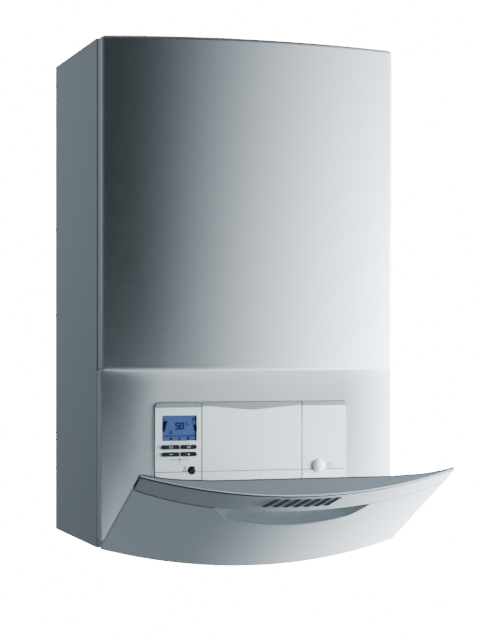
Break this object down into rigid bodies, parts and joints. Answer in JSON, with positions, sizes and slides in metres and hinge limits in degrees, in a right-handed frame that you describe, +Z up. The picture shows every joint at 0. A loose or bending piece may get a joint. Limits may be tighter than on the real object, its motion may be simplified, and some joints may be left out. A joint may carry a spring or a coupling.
{
  "type": "condensing gas boiler",
  "caption": "Wall-hung condensing gas boiler: bowed white cover, control panel with screen and keys, and a bottom-hinged flap that folds open",
  "frame": {"origin": "on the wall plane, midway between the hanging bracket's two holes", "axes": "+X to the right seen from the front, +Y into the wall, +Z up"},
  "size_m": [0.44, 0.5328, 0.7727],
  "materials": {
    "white_sheet": "satin",
    "white_plastic": "satin",
    "grey_plastic": "satin",
    "dark_plastic": "satin",
    "clear_plastic": "gloss",
    "screen": "gloss",
    "rubber": "matte",
    "zinc_steel": "satin",
    "stainless": "brushed",
    "cast_aluminium": "cast",
    "brass": "satin",
    "copper_pipe": "satin",
    "red_vessel": "satin",
    "board": "satin"
  },
  "bodies": {
    "casing": {"hanging_bracket": "zinc_steel", "back_panel": "zinc_steel", "left_side_panel": "white_sheet", "right_side_panel": "white_sheet", "top_panel": "white_sheet", "bottom_plate": "zinc_steel", "front_cover": "white_sheet", "cover_seal": "rubber", "cover_screws": "zinc_steel", "flap_hinge_ears": "zinc_steel", "electronics_housing": "grey_plastic", "main_board": "board", "display_board": "board", "display_fascia": "white_plastic", "centre_fascia": "white_plastic", "switch_fascia": "white_plastic", "fascia_strips": "grey_plastic", "display_glass": "screen", "panel_switches": "dark_plastic", "cross_beam": "zinc_steel", "expansion_vessel": "red_vessel", "exchanger_shell": "stainless", "exchanger_coil": "stainless", "burner_door": "cast_aluminium", "door_seal": "rubber", "door_nuts": "zinc_steel", "burner_tube": "stainless", "ignition_electrode": "stainless", "fan_housing": "cast_aluminium", "fan_motor": "dark_plastic", "flue_tube": "stainless", "flue_adapter": "white_plastic", "plate_exchanger": "stainless", "flow_block": "dark_plastic", "return_block": "dark_plastic", "pump_motor": "cast_aluminium", "diverter_motor": "dark_plastic", "safety_valve": "brass", "flow_pipe": "copper_pipe", "return_pipe": "copper_pipe", "vessel_pipe": "copper_pipe", "gas_valve": "cast_aluminium", "gas_pipe": "copper_pipe", "gas_feed_pipe": "copper_pipe", "siphon": "grey_plastic"},
    "flap": {"flap_panel": "white_plastic", "flap_band": "white_plastic", "band_end_caps": "dark_plastic", "flap_liner": "white_plastic", "grip_insert": "clear_plastic", "flap_hinge_pins": "zinc_steel"},
    "upper_left_key": {"key_upper_left": "dark_plastic"},
    "upper_right_key": {"key_upper_right": "dark_plastic"},
    "lower_left_key": {"key_lower_left": "dark_plastic"},
    "lower_right_key": {"key_lower_right": "dark_plastic"},
    "reset": {"reset_button": "dark_plastic"},
    "power": {"power_button": "white_plastic"},
    "fan_wheel": {"fan_impeller": "dark_plastic"},
    "pump_wheel": {"pump_impeller": "dark_plastic"},
    "diverter": {"diverter_stem": "stainless"}
  },
  "joints": [
    {"name": "flap_hinge", "type": "hinge", "parent": "casing", "child": "flap", "pos_m": [0, -0.302, -0.645], "axis": [1, 0, 0], "range_deg": [-62, 0]},
    {"name": "upper_left_press", "type": "slide", "parent": "casing", "child": "upper_left_key", "axis": [0, 1, 0], "range_m": [0, 0.0008], "stiffness_N_per_m": 800, "springref_m": -0.0005},
    {"name": "upper_right_press", "type": "slide", "parent": "casing", "child": "upper_right_key", "axis": [0, 1, 0], "range_m": [0, 0.0008], "stiffness_N_per_m": 800, "springref_m": -0.0005},
    {"name": "lower_left_press", "type": "slide", "parent": "casing", "child": "lower_left_key", "axis": [0, 1, 0], "range_m": [0, 0.0008], "stiffness_N_per_m": 800, "springref_m": -0.0005},
    {"name": "lower_right_press", "type": "slide", "parent": "casing", "child": "lower_right_key", "axis": [0, 1, 0], "range_m": [0, 0.0008], "stiffness_N_per_m": 800, "springref_m": -0.0005},
    {"name": "reset_press", "type": "slide", "parent": "casing", "child": "reset", "axis": [0, 1, 0], "range_m": [0, 0.0015], "stiffness_N_per_m": 800, "springref_m": -0.0005},
    {"name": "power_press", "type": "slide", "parent": "casing", "child": "power", "axis": [0, 1, 0], "range_m": [0, 0.003], "stiffness_N_per_m": 500, "springref_m": -0.0005},
    {"name": "fan_spin", "type": "hinge", "parent": "casing", "child": "fan_wheel", "pos_m": [0.096, -0.27, -0.148], "axis": [0, 1, 0], "continuous": true},
    {"name": "pump_spin", "type": "hinge", "parent": "casing", "child": "pump_wheel", "pos_m": [0.13, -0.115, -0.5068], "axis": [0, 1, 0], "continuous": true},
    {"name": "diverter_slide", "type": "slide", "parent": "casing", "child": "diverter", "axis": [0, 0, -1], "range_m": [0, 0.008]}
  ]
}
